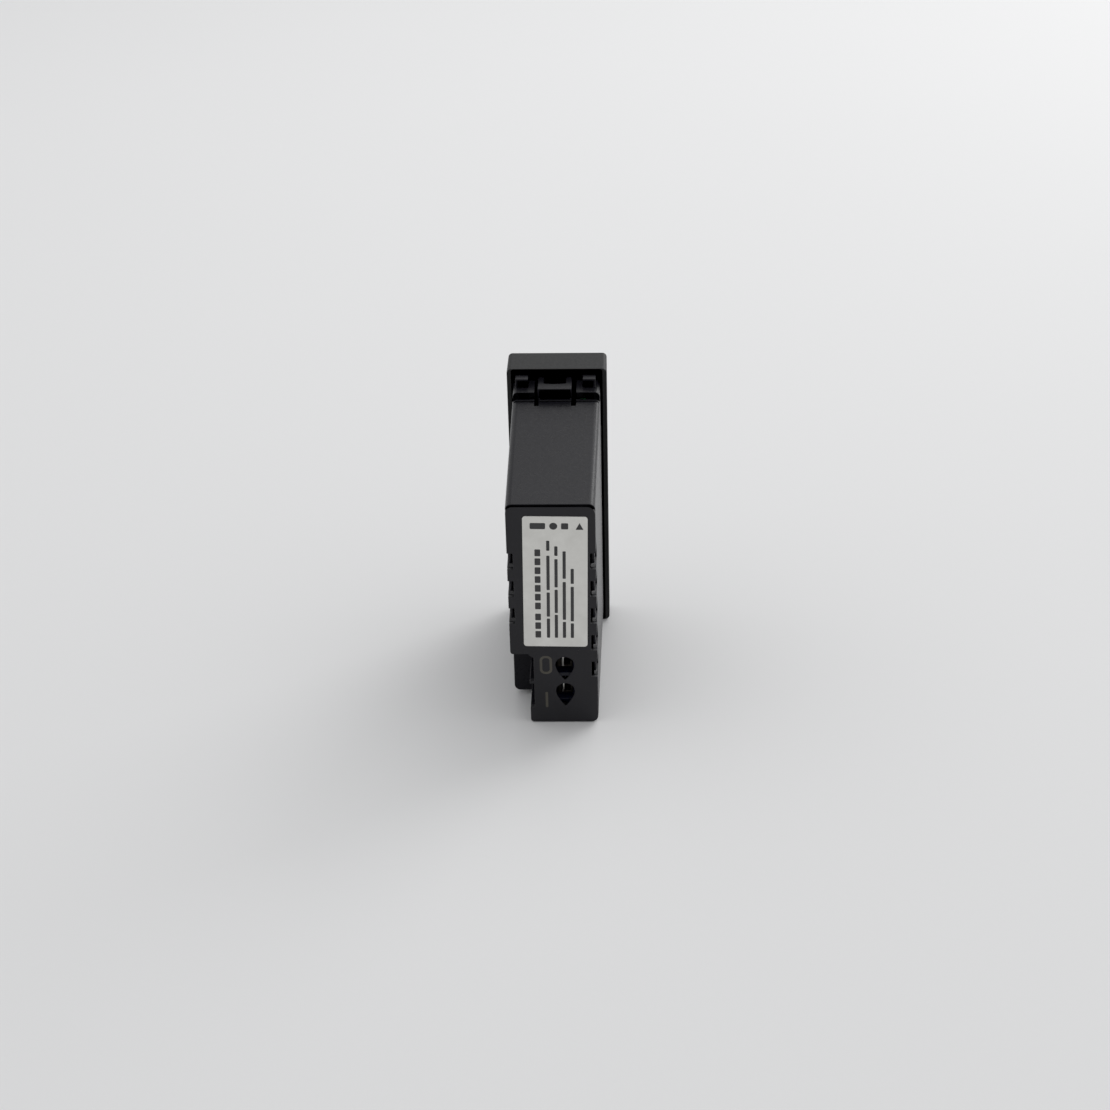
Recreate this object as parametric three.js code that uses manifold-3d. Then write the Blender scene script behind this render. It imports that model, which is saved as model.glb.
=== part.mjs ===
// A snap-in two-port USB wall charger module: bezel, housing with a spring latch, rear cover,
// screw terminals and the power supply inside.
// Millimetres. +Z is up, -Y looks out of the wall, and the origin is the centre of the front face.

import * as THREE from 'three';
import { mergeVertices } from 'three/addons/utils/BufferGeometryUtils.js';
import Module from 'manifold-3d';

const wasm = await Module();
wasm.setup();

// ---------- driving dimensions ----------

const GAP = 0.3; // clearance between touching pieces
const FINE_GAP = 0.1; // clearance of small fitted metal pieces

const BEZEL = { width: 16.6, height: 49.8, depth: 6.0, wall: 0.7, front: 1.5, corner: 0.8 };
const DEPTH = 44.0; // front face to rear face
const BODY = { halfFront: 7.3, halfRear: 6.95, top: 21.6, bottomFront: -21.6, bottomRear: -19.5 };
const BODY_CORNER = 0.9;
const WALL = 1.1;
const DECK = { top: 22.75, end: 10.1, half: 7.2, start: BEZEL.front + GAP };
const UNDERCUT = { depth: 2.0, half: 6.65, lip: 0.15 };
const TOOTH = { inner: 4.9, outer: 6.75, start: 6.7, end: 8.1, top: 24.2, skin: 0.35 };

const COVER = { lip: 0.5, plug: 1.1, edge: 0.15 };
const TAB = { thick: 0.45, recess: 0.5 };
const STEP_Z = -6.2; // where the wide upper part ends and the terminal tower begins
const TOWER_X = 3.97; // the tower's inner side
const CUTAWAY_Y = 34.3; // the cut-away's front wall
const NOTCH = { depth: 0.9, height: 2.87, pitch: 5.1, first: 11.25 };
const ENTRY = { x: -1.72, radius: 1.5, drop: 3.2, rise: 0.85 };

const LATCH = { x: 0.25, half: 2.8, slit: 0.6, root: 12.65, skin: 1.0 };
const PRONG = { width: 0.98, start: 5.9, end: 10.2, top: 23.43 };
const CROSSBAR = { start: 7.93, cut: 1.4, cutHeight: 0.8, cheek: 0.2 };

const BOARD = { back: -4.75, face: -3.75, front: 2.4, rear: 41.6, bottom: -17.9, top: 19.6 };
const SEAT = BOARD.face + GAP; // where components stand

const PORT = { halfX: 2.85, halfZ: 6.55, wall: 0.3, front: 0.5, rear: 14.9, spacing: 16.0, corner: 0.4 };
const PORT_LEG = { places: [4.5, 12], length: 1.4, thick: 0.6, inset: 0.5 };
const PORT_TONGUE = { front: 3.4, low: -1.2, high: 0.7, half: 5.55, blockFront: 11.2 };
const CONTACT = { width: 1.0, thick: 0.2, front: 3.9, rear: 10.9, spacing: 2.3 };

const CELL = { pitch: 5.08, z: -9.15, half: 2.2, roof: 1.0, floor: -2.95, skin: 0.5, ceiling: 0.6 };
const WINDOW = { front: 36.4, half: 2.35, depth: 0.72 }; // beside each cell, for the screwdriver
const BLOCK = { front: 35.2, rear: 41.7, top: 2.85, halfZ: 5.5 };
const SCREW = {
  y: 38.6, headRadius: 1.8, headLow: 1.9, headTop: 2.75, shaftRadius: 1.1, tip: -0.85, slot: 0.5,
};
const CAGE = {
  front: 36.6, rear: 40.6, half: 1.9, side: 0.45,
  low: -2.85, high: -0.25, windowLow: -2.45, windowHigh: -0.95,
};
const PLATE = { low: -1.45, high: -1.1, half: 1.3, front: 36.0, rear: 41.2, leg: 0.3, legHalf: 0.5 };

const REST = { places: [20, 31], length: 1.2, bottom: -14, top: 16 }; // ribs under the board

// the transformer's core: half sizes about its centre, and the thickness of its back and legs
const CORE = {
  x: 1.0, y: 24.25, z: 8.0, halfX: 2.5, halfY: 6.4, halfZ: 6.5, back: 2.2, leg: 1.8, centre: 1.5,
};
const BOBBIN = { wall: 0.5, flange: 0.6, flangeX: 4.1, flangeZ: 3.0 };
const WINDING = { halfX: 3.9, halfZ: 2.9, inset: 0.7 };
const CORE_SPLIT = 0.05; // half the air gap between the two cores
const CHOKE = { y: 38.3, z: -0.4, radius: 3.1, waist: 2.2, height: 6.6, flange: 1.0, slope: 0.4 };
const CAN_GROOVE = { from: 1.9, to: 1.5, depth: 0.25 };

const ENTRY_FACETS = 12; // along a wire entry's arc
const OVERSHOOT = 1; // how far a cutter reaches past what it cuts
const BITE = 0.1; // how deep joined blocks sink into each other
const LABEL = {
  x: -0.54, z: 7.47, width: 10.1, height: 24.14, thick: 0.1, corner: 0.5, turn: -0.9, lift: 0.03,
};

const ROUND = 24; // facets of a small cylinder

// ---------- shape helpers ----------

// Turns a closed geometry into a solid that can be joined and cut.
function solid(geometry) {
  const bare = geometry.clone();
  bare.deleteAttribute('normal');
  bare.deleteAttribute('uv');
  const merged = mergeVertices(bare, 1e-4);
  const vertProperties = new Float32Array(merged.attributes.position.array);
  const triVerts = new Uint32Array(merged.index.array);
  return new wasm.Manifold(new wasm.Mesh({ numProp: 3, vertProperties, triVerts }));
}

// Turns a solid back into a geometry.
function geometryOf(body) {
  const mesh = body.getMesh();
  const geometry = new THREE.BufferGeometry();
  geometry.setAttribute('position', new THREE.BufferAttribute(new Float32Array(mesh.vertProperties), 3));
  geometry.setIndex(new THREE.BufferAttribute(new Uint32Array(mesh.triVerts), 1));
  geometry.computeVertexNormals();
  return geometry;
}

// A box between two values on each axis.
function box(x, y, z) {
  const geometry = new THREE.BoxGeometry(x[1] - x[0], y[1] - y[0], z[1] - z[0]);
  geometry.translate((x[0] + x[1]) / 2, (y[0] + y[1]) / 2, (z[0] + z[1]) / 2);
  return solid(geometry);
}

// A cylinder along one axis, given its centre on the other two in X, Y, Z order.
function rod(axis, centre, radius, from, to) {
  const geometry = new THREE.CylinderGeometry(radius, radius, to - from, ROUND);
  const middle = (from + to) / 2;
  if (axis === 'x') geometry.rotateZ(Math.PI / 2).translate(middle, centre[0], centre[1]);
  if (axis === 'y') geometry.translate(centre[0], middle, centre[1]);
  if (axis === 'z') geometry.rotateX(Math.PI / 2).translate(centre[0], centre[1], middle);
  return solid(geometry);
}

// An outline in X and Z, extruded along Y.
function alongY(shape, from, to, curveSegments = 4) {
  const geometry = new THREE.ExtrudeGeometry(shape, { depth: to - from, bevelEnabled: false, curveSegments });
  geometry.rotateX(Math.PI / 2).translate(0, to, 0);
  return geometry;
}

// An outline in Y and Z, extruded along X.
function alongX(points, from, to) {
  const shape = new THREE.Shape(points.map(([y, z]) => new THREE.Vector2(y, z)));
  const geometry = new THREE.ExtrudeGeometry(shape, { depth: to - from, bevelEnabled: false });
  const turn = new THREE.Matrix4().makeBasis(
    new THREE.Vector3(0, 1, 0),
    new THREE.Vector3(0, 0, 1),
    new THREE.Vector3(1, 0, 0),
  );
  geometry.applyMatrix4(turn).translate(from, 0, 0);
  return solid(geometry);
}

// A rectangle with round corners.
function roundedRectangle(left, right, bottom, top, radius) {
  const shape = new THREE.Shape();
  shape.moveTo(left + radius, bottom);
  shape.lineTo(right - radius, bottom);
  shape.absarc(right - radius, bottom + radius, radius, -Math.PI / 2, 0, false);
  shape.lineTo(right, top - radius);
  shape.absarc(right - radius, top - radius, radius, 0, Math.PI / 2, false);
  shape.lineTo(left + radius, top);
  shape.absarc(left + radius, top - radius, radius, Math.PI / 2, Math.PI, false);
  shape.lineTo(left, bottom + radius);
  shape.absarc(left + radius, bottom + radius, radius, Math.PI, 1.5 * Math.PI, false);
  return shape;
}

const lerp = THREE.MathUtils.lerp;

// How far along the body a place is: 0 at the bezel's rear rim, 1 at the rear face.
const along = (y) => (y - BEZEL.depth) / (DEPTH - BEZEL.depth);
const bodyHalf = (y) => lerp(BODY.halfFront, BODY.halfRear, along(y));
const bodyBottom = (y) => lerp(BODY.bottomFront, BODY.bottomRear, along(y));

// The body's tapered block, pulled in by inset on its four long sides.
function bodyBlock(inset, from, to) {
  const radius = Math.max(BODY_CORNER - inset, 0.2);
  const half = BODY.halfFront;
  const geometry = alongY(roundedRectangle(-half, half, BODY.bottomFront, BODY.top, radius), from, to);
  const place = geometry.attributes.position;
  for (let i = 0; i < place.count; i++) {
    const y = place.getY(i);
    const high = BODY.top - inset;
    const low = bodyBottom(y) + inset;
    const share = (place.getZ(i) - BODY.bottomFront) / (BODY.top - BODY.bottomFront);
    place.setX(i, (place.getX(i) / half) * (bodyHalf(y) - inset));
    place.setZ(i, lerp(low, high, share));
  }
  return solid(geometry);
}

// A wire entry's outline: round at the top, pointed at the bottom.
function entryShape(z) {
  const { radius, drop } = ENTRY;
  const tangent = Math.asin(radius / drop);
  const shape = new THREE.Shape();
  shape.moveTo(ENTRY.x, z - drop);
  shape.absarc(ENTRY.x, z, radius, -tangent, Math.PI + tangent, false);
  return shape;
}

// ---------- casing ----------

function frontBezel() {
  const { width, height, depth, wall, front, corner } = BEZEL;
  const outline = roundedRectangle(-width / 2, width / 2, -height / 2, height / 2, corner);
  const inner = roundedRectangle(
    -width / 2 + wall, width / 2 - wall, -height / 2 + wall, height / 2 - wall, corner / 2,
  );
  let body = solid(alongY(outline, 0, depth)).subtract(solid(alongY(inner, front, depth + OVERSHOOT)));
  for (const side of [-1, 1]) {
    const z = (side * PORT.spacing) / 2;
    const x = PORT.halfX + GAP;
    const half = PORT.halfZ + GAP;
    const mouth = roundedRectangle(-x, x, z - half, z + half, PORT.corner);
    body = body.subtract(solid(alongY(mouth, -OVERSHOOT, front + OVERSHOOT)));
  }
  return body;
}

// A retaining tooth: a hollow hook that is open at the back.
function tooth(side, up) {
  const { inner, outer, start, end, top, skin } = TOOTH;
  const x = side > 0 ? [inner, outer] : [-outer, -inner];
  const hollowX = side > 0 ? [inner - skin, outer - skin] : [-outer + skin, -inner + skin];
  const foot = DECK.top - skin;
  const z = up > 0 ? [foot, top] : [-top, -foot];
  const hollowZ = up > 0 ? [DECK.top, top - skin] : [-top + skin, -DECK.top];
  return box(x, [start, end], z).subtract(box(hollowX, [start + skin, end + OVERSHOOT], hollowZ));
}

// The wedge cut beneath the deck's rear edge.
function deckUndercut(up) {
  const { end, top } = DECK;
  const tip = top - UNDERCUT.lip;
  const profile = [
    [end - UNDERCUT.depth, BODY.top],
    [end + OVERSHOOT, BODY.top],
    [end + OVERSHOOT, tip],
    [end, tip],
    [end - UNDERCUT.depth, lerp(BODY.top, tip, 0.5)],
  ];
  const ordered = up > 0 ? profile : profile.map(([y, z]) => [y, -z]).reverse();
  return alongX(ordered, -UNDERCUT.half, UNDERCUT.half);
}

function mainHousing() {
  const wallEnd = DEPTH - COVER.lip - GAP;
  const deck = (half, high, radius) => roundedRectangle(-half, half, -high, high, radius);
  let body = bodyBlock(0, DECK.end - OVERSHOOT, wallEnd);
  body = body.add(solid(alongY(deck(DECK.half, DECK.top, BODY_CORNER), DECK.start, DECK.end)));
  for (const up of [-1, 1]) {
    body = body.subtract(deckUndercut(up));
    for (const side of [-1, 1]) body = body.add(tooth(side, up));
  }
  body = body.subtract(box([TOWER_X, BEZEL.width], [CUTAWAY_Y, DEPTH], [-BEZEL.height, STEP_Z]));

  const hollow = bodyBlock(WALL, DECK.start - OVERSHOOT, DEPTH);
  const walledCut = box(
    [TOWER_X - WALL, BEZEL.width], [CUTAWAY_Y - WALL, DEPTH + OVERSHOOT], [-BEZEL.height, STEP_Z + WALL],
  );
  body = body.subtract(hollow.subtract(walledCut));

  // the slits and the space of the latch tongue
  const { x, half, slit, root, skin } = LATCH;
  const reach = half + slit;
  const slitZ = [BODY.top - WALL - skin, TOOTH.top];
  body = body.subtract(box([x - reach, x + reach], [DECK.start + OVERSHOOT, root], slitZ));

  // windows for turning the terminal screws from the side
  for (const z of cellHeights()) {
    const windowZ = [z - WINDOW.half, z + WINDOW.half];
    body = body.subtract(box([TOWER_X - 2 * WALL, BEZEL.width], [WINDOW.front, DEPTH], windowZ));
  }

  // tabs that stand in the cover's notches
  for (const { side, z } of notches()) {
    const outer = BODY.halfRear - COVER.edge;
    const tab = [outer - TAB.thick, outer];
    const tabX = side > 0 ? tab : [-tab[1], -tab[0]];
    const high = NOTCH.height / 2 - GAP;
    body = body.add(box(tabX, [wallEnd - OVERSHOOT, DEPTH - TAB.recess], [z - high, z + high]));
  }

  // rests that the circuit board lies on
  for (const y of REST.places) {
    const restX = [-bodyHalf(y) + WALL / 2, BOARD.back - GAP];
    body = body.add(box(restX, [y, y + REST.length], [REST.bottom, REST.top]));
  }
  return body;
}

// The notches in the cover's two long edges.
function notches() {
  const rows = [];
  for (let i = 0; i < 5; i++) {
    const z = NOTCH.first - i * NOTCH.pitch;
    rows.push({ side: -1, z });
    if (i < 3) rows.push({ side: 1, z });
  }
  return rows;
}

function cellHeights() {
  return [CELL.z, CELL.z - CELL.pitch];
}

// The rear cover's outline, pulled in by inset.
function coverOutline(inset) {
  const right = BODY.halfRear - inset;
  const top = BODY.top - inset;
  const bottom = BODY.bottomRear + inset;
  const radius = BODY_CORNER;
  const shape = new THREE.Shape();
  shape.moveTo(-right + radius, bottom);
  shape.lineTo(TOWER_X - inset, bottom);
  shape.lineTo(TOWER_X - inset, STEP_Z + inset);
  shape.lineTo(right, STEP_Z + inset);
  shape.lineTo(right, top - radius);
  shape.absarc(right - radius, top - radius, radius, 0, Math.PI / 2, false);
  shape.lineTo(-right + radius, top);
  shape.absarc(-right + radius, top - radius, radius, Math.PI / 2, Math.PI, false);
  shape.lineTo(-right, bottom + radius);
  shape.absarc(-right + radius, bottom + radius, radius, Math.PI, 1.5 * Math.PI, false);
  return shape;
}

function rearCover() {
  const lipStart = DEPTH - COVER.lip;
  let body = solid(alongY(coverOutline(COVER.edge), lipStart, DEPTH));
  const plugStart = lipStart - COVER.plug;
  const through = [plugStart - OVERSHOOT, DEPTH + OVERSHOOT];
  let plug = solid(alongY(coverOutline(WALL + GAP), plugStart, lipStart + BITE));
  for (const z of cellHeights()) {
    // the plug is cut away around the wire entries, so that only the thin lip is left there
    const roomX = [ENTRY.x - ENTRY.radius - GAP, ENTRY.x + ENTRY.radius + GAP];
    plug = plug.subtract(box(roomX, through, [z - CELL.pitch / 2 - BITE, z + CELL.pitch / 2 + BITE]));
  }
  body = body.add(plug);
  for (const { side, z } of notches()) {
    const inner = BODY.halfRear - COVER.edge - NOTCH.depth;
    const x = side > 0 ? [inner, BEZEL.width] : [-BEZEL.width, -inner];
    body = body.subtract(box(x, through, [z - NOTCH.height / 2, z + NOTCH.height / 2]));
  }
  for (const z of cellHeights()) {
    body = body.subtract(solid(alongY(entryShape(z + ENTRY.rise), ...through, ENTRY_FACETS)));
    const windowZ = [z - WINDOW.half, z + WINDOW.half];
    body = body.subtract(box([TOWER_X - WINDOW.depth, BEZEL.width], through, windowZ));
  }
  return body;
}

function latchTongue() {
  const { x, half, root, skin } = LATCH;
  const plateTop = BODY.top;
  const rear = root - GAP;
  const left = x - half;
  const right = x + half;
  const raised = [plateTop - BITE, PRONG.top];
  let body = box([left, right], [PRONG.start, rear], [plateTop - skin, plateTop]);
  body = body.add(box([left, right], [CROSSBAR.start, PRONG.end], raised));
  for (const prongX of [[left, left + PRONG.width], [right - PRONG.width, right]]) {
    body = body.add(box(prongX, [PRONG.start, PRONG.end], raised));
  }
  const lipHeight = PRONG.top - UNDERCUT.lip;
  const catchCut = [
    [PRONG.end - CROSSBAR.cut, plateTop],
    [PRONG.end + OVERSHOOT, plateTop],
    [PRONG.end + OVERSHOOT, lipHeight],
    [PRONG.end, lipHeight],
    [PRONG.end - CROSSBAR.cut, plateTop + CROSSBAR.cutHeight],
  ];
  return body.subtract(alongX(catchCut, left + CROSSBAR.cheek, right - CROSSBAR.cheek));
}

function ratingLabel() {
  const { width, height, thick, corner } = LABEL;
  const outline = roundedRectangle(-width / 2, width / 2, -height / 2, height / 2, corner);
  return solid(alongY(outline, 0, thick));
}

// ---------- ports ----------

function portShell(z) {
  const { halfX, halfZ, wall, front, rear } = PORT;
  let body = box([-halfX, halfX], [front, rear], [z - halfZ, z + halfZ]);
  body = body.subtract(
    box(
      [-halfX + wall, halfX - wall], [front - OVERSHOOT, rear - wall], [z - halfZ + wall, z + halfZ - wall],
    ),
  );
  // four legs stand on the board
  const { places, length, thick, inset } = PORT_LEG;
  for (const y of places) {
    for (const side of [-1, 1]) {
      const foot = z + side * (halfZ - inset);
      body = body.add(box([SEAT, -halfX + BITE], [y, y + length], [foot - thick / 2, foot + thick / 2]));
    }
  }
  return body;
}

function portInsulator(z) {
  const { low, high, half, front, blockFront } = PORT_TONGUE;
  const x = PORT.halfX - PORT.wall - FINE_GAP;
  const inner = PORT.halfZ - PORT.wall - FINE_GAP;
  const rear = PORT.rear - PORT.wall - FINE_GAP;
  const block = box([-x, x], [blockFront, rear], [z - inner, z + inner]);
  return block.add(box([low, high], [front, blockFront + BITE], [z - half, z + half]));
}

function portContact(z, index) {
  const middle = z + (index - 1.5) * CONTACT.spacing;
  const low = PORT_TONGUE.high + FINE_GAP;
  const x = [low, low + CONTACT.thick];
  return box(x, [CONTACT.front, CONTACT.rear], [middle - CONTACT.width / 2, middle + CONTACT.width / 2]);
}

// ---------- terminals ----------

// The hole that a terminal plate's leg passes through, between two heights.
function legHole(z, low, high) {
  const y = [PLATE.front - FINE_GAP, PLATE.front + PLATE.leg + FINE_GAP];
  return box([low, high], y, [z - PLATE.legHalf - FINE_GAP, z + PLATE.legHalf + FINE_GAP]);
}

function terminalBlock() {
  const middle = CELL.z - CELL.pitch / 2;
  let body = box([SEAT, BLOCK.top], [BLOCK.front, BLOCK.rear], [middle - BLOCK.halfZ, middle + BLOCK.halfZ]);
  for (const z of cellHeights()) {
    const cellY = [BLOCK.front + CELL.skin, BLOCK.rear + OVERSHOOT];
    const at = [SCREW.y, z];
    const outside = BLOCK.top + OVERSHOOT;
    body = body.subtract(box([CELL.floor, CELL.roof], cellY, [z - CELL.half, z + CELL.half]));
    body = body.subtract(rod('x', at, SCREW.headRadius + FINE_GAP, CELL.roof + CELL.ceiling, outside));
    body = body.subtract(rod('x', at, SCREW.shaftRadius + 2 * FINE_GAP, CELL.roof - OVERSHOOT, outside));
    body = body.subtract(legHole(z, SEAT - OVERSHOOT, CELL.floor + OVERSHOOT));
  }
  return body;
}

function terminalPlate(z) {
  const { low, high, half, front, rear, leg, legHalf } = PLATE;
  const flat = box([low, high], [front, rear], [z - half, z + half]);
  return flat.add(box([BOARD.back - GAP, high], [front, front + leg], [z - legHalf, z + legHalf]));
}

function clampCage(z) {
  const { front, rear, half, side, low, high, windowLow, windowHigh } = CAGE;
  const ring = box([low, high], [front, rear], [z - half, z + half]);
  const through = [front - OVERSHOOT, rear + OVERSHOOT];
  const window = box([windowLow, windowHigh], through, [z - half + side, z + half - side]);
  const thread = rod('x', [SCREW.y, z], SCREW.shaftRadius + FINE_GAP, windowHigh - BITE, high + OVERSHOOT);
  return ring.subtract(window).subtract(thread);
}

function terminalScrew(z) {
  const { y, headRadius, headLow, headTop, shaftRadius, tip, slot } = SCREW;
  const head = rod('x', [y, z], headRadius, headLow, headTop);
  const shaft = rod('x', [y, z], shaftRadius, tip, headLow + BITE);
  const slotX = [headTop - slot, headTop + OVERSHOOT];
  const slotY = [y - headRadius - OVERSHOOT, y + headRadius + OVERSHOOT];
  return head.add(shaft).subtract(box(slotX, slotY, [z - slot / 2, z + slot / 2]));
}

// ---------- circuit board and components ----------

function circuitBoard() {
  const { back, face, front, rear, bottom, top } = BOARD;
  let body = box([back, face], [front, rear], [bottom, top]);
  for (const z of cellHeights()) body = body.subtract(legHole(z, back - OVERSHOOT, face + OVERSHOOT));
  return body;
}

// One half of the transformer's E core: side -1 is the front half, 1 the rear half.
function transformerCore(side) {
  const { y, z, x, halfX, halfY, halfZ, back, leg, centre } = CORE;
  const depth = (from, to) => (side > 0 ? [y + from, y + to] : [y - to, y - from]);
  const thick = [x - halfX, x + halfX];
  let body = box(thick, depth(halfY - back, halfY), [z - halfZ, z + halfZ]);
  const legs = [[z - halfZ, z - halfZ + leg], [z - centre, z + centre], [z + halfZ - leg, z + halfZ]];
  for (const legZ of legs) body = body.add(box(thick, depth(CORE_SPLIT, halfY), legZ));
  return body;
}

// A block around the core's centre leg, with the leg's hole through it.
function sleeve(outerX, outerZ, innerX, innerZ, from, to) {
  const { x, y, z } = CORE;
  const outside = roundedRectangle(x - outerX, x + outerX, z - outerZ, z + outerZ, PORT.corner);
  const through = [y + from - OVERSHOOT, y + to + OVERSHOOT];
  const hole = box([x - innerX, x + innerX], through, [z - innerZ, z + innerZ]);
  return solid(alongY(outside, y + from, y + to)).subtract(hole);
}

function transformerBobbin() {
  const reach = CORE.halfY - CORE.back - FINE_GAP;
  const innerX = CORE.halfX + FINE_GAP;
  const innerZ = CORE.centre + FINE_GAP;
  const { wall, flange, flangeX, flangeZ } = BOBBIN;
  let body = sleeve(innerX + wall, innerZ + wall, innerX, innerZ, -reach, reach);
  for (const end of [-reach, reach - flange]) {
    body = body.add(sleeve(flangeX, flangeZ, innerX, innerZ, end, end + flange));
  }
  return body;
}

function transformerWinding() {
  const reach = CORE.halfY - CORE.back - BOBBIN.flange - 2 * FINE_GAP;
  const { halfX, halfZ, inset } = WINDING;
  return sleeve(halfX, halfZ, CORE.halfX + inset, CORE.centre + inset, -reach, reach);
}

// A drum choke standing on the board.
function inputChoke() {
  const { y, z, radius, waist, height, flange, slope } = CHOKE;
  const lower = [[0, 0], [radius, 0], [radius, flange], [waist, flange + slope]];
  const upper = lower.map(([r, h]) => [r, height - h]).reverse();
  const profile = [...lower, ...upper].map(([r, h]) => new THREE.Vector2(r, h));
  const geometry = new THREE.LatheGeometry(profile, ROUND);
  geometry.rotateZ(-Math.PI / 2).translate(SEAT, y, z);
  return solid(geometry);
}

// An electrolytic can lying on the board, with the groove near its sleeve's end.
function can(axis, centre, radius, from, to) {
  const groove = rod(axis, centre, radius + OVERSHOOT, to - CAN_GROOVE.from, to - CAN_GROOVE.to);
  const core = rod(axis, centre, radius - CAN_GROOVE.depth, from, to);
  return rod(axis, centre, radius, from, to).subtract(groove.subtract(core));
}

// ---------- the model ----------

const BLACK = { color: 0x2b2b2d, roughness: 0.6, metalness: 0 };
const STEEL = { color: 0xb9bbbd, roughness: 0.3, metalness: 1 };
const BRASS = { color: 0xc8a45a, roughness: 0.35, metalness: 1 };
const DARK = { color: 0x17171a, roughness: 0.5, metalness: 0 };

const charger = new THREE.Group();

function add(name, body, look) {
  const mesh = new THREE.Mesh(geometryOf(body), new THREE.MeshStandardMaterial(look));
  mesh.name = name;
  charger.add(mesh);
  return mesh;
}

add('front_bezel', frontBezel(), BLACK);
add('main_housing', mainHousing(), BLACK);
add('latch_tongue', latchTongue(), BLACK);
add('rear_cover', rearCover(), BLACK);

const label = add('rating_label', ratingLabel(), { color: 0xd6d4cd, roughness: 0.5, metalness: 0 });
label.position.set(LABEL.x, DEPTH + LABEL.lift, LABEL.z);
label.rotation.y = THREE.MathUtils.degToRad(LABEL.turn);

add('circuit_board', circuitBoard(), { color: 0x1f5c39, roughness: 0.5, metalness: 0 });

for (const [place, side] of [['upper', 1], ['lower', -1]]) {
  const z = (side * PORT.spacing) / 2;
  add(`usb_shell_${place}`, portShell(z), STEEL);
  add(`usb_insulator_${place}`, portInsulator(z), { color: 0xe8e8e4, roughness: 0.5, metalness: 0 });
  for (let i = 0; i < 4; i++) add(`usb_contact_${place}_${i + 1}`, portContact(z, i), BRASS);
}

add('terminal_block', terminalBlock(), { color: 0x2f6b46, roughness: 0.5, metalness: 0 });
for (const [place, z] of [['upper', cellHeights()[0]], ['lower', cellHeights()[1]]]) {
  add(`terminal_plate_${place}`, terminalPlate(z), BRASS);
  add(`clamp_cage_${place}`, clampCage(z), STEEL);
  add(`terminal_screw_${place}`, terminalScrew(z), STEEL);
}

add('transformer_core_front', transformerCore(-1), DARK);
add('transformer_core_rear', transformerCore(1), DARK);
add('transformer_bobbin', transformerBobbin(), DARK);
add('transformer_winding', transformerWinding(), { color: 0xd9b23c, roughness: 0.5, metalness: 0 });

const CAN = { color: 0x27343f, roughness: 0.4, metalness: 0.1 };
add('input_capacitor_a', can('z', [SEAT + 3.8, 37.5], 3.8, 4.0, 16.5), CAN);
add('input_capacitor_b', can('y', [SEAT + 3.8, -3.1], 3.8, 18.5, 30.8), CAN);
add('output_capacitor_a', can('y', [SEAT + 3.1, -10.4], 3.1, 16.5, 27.0), CAN);
add('output_capacitor_b', can('y', [SEAT + 2.4, 17.5], 2.4, 17.0, 27.0), CAN);
add('suppression_capacitor', rod('y', [SEAT + 3.5, -11.2], 3.5, 28.0, 31.2), {
  color: 0x2f6fb0,
  roughness: 0.4,
  metalness: 0,
});
add('input_choke', inputChoke(), DARK);
add('fuse_resistor', rod('z', [SEAT + 1.6, 33.0], 1.6, -5.0, 3.4), {
  color: 0x6f9a78,
  roughness: 0.5,
  metalness: 0,
});
add('bridge_rectifier', box([SEAT, SEAT + 2.4], [23.0, 29.5], [-18.8, -14.9]), DARK);
add('controller_chip', box([SEAT, SEAT + 1.5], [17.0, 21.9], [-18.6, -14.7]), DARK);
add('output_diode', box([SEAT, SEAT + 2.2], [28.6, 33.0], [16.4, 19.0]), DARK);

export default charger;
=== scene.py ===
"""In-wall USB charger module, seen from behind and above: its looks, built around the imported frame."""

import math

import bmesh
import bpy
from mathutils import Matrix, Vector


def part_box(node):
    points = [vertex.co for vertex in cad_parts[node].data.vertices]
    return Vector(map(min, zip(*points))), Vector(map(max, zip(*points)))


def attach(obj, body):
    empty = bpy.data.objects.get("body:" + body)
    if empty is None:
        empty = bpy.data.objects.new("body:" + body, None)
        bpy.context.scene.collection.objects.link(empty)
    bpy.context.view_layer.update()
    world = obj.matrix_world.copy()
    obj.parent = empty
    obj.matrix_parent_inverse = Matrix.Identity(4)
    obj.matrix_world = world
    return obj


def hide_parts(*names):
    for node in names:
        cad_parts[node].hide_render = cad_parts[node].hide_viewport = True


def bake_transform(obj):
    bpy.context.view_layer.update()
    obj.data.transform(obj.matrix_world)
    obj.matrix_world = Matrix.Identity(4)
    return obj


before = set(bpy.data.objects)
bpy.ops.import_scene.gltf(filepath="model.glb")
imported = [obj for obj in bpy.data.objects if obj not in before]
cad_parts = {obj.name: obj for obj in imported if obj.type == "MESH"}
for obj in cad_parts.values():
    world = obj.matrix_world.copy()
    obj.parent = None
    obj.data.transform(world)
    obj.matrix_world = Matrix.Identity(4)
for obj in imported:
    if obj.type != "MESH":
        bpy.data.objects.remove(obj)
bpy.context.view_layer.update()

MM = 0.001  # sizes below are in millimetres, in the CAD frame, and become metres when a piece is made


def span(node):
    """A CAD node's lowest and highest corner, in millimetres."""
    low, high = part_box(node)
    return low / MM, high / MM


# ---------- sizes ----------

bezel_low, bezel_high = span("front_bezel")
cover_low, cover_high = span("rear_cover")
label_low, label_high = span("rating_label")
tongue_low, tongue_high = span("latch_tongue")

DEPTH = cover_high.y
COVER_EDGE = 0.15  # how far the CAD cover stays inside the body's outline
TOP = cover_high.z + COVER_EDGE
BOTTOM_REAR = cover_low.z - COVER_EDGE
HALF_REAR = cover_high.x + COVER_EDGE
HALF_FRONT = HALF_REAR + 0.35
BOTTOM_FRONT = -TOP
BODY_CORNER = 1.0
WALL = 1.1

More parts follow.
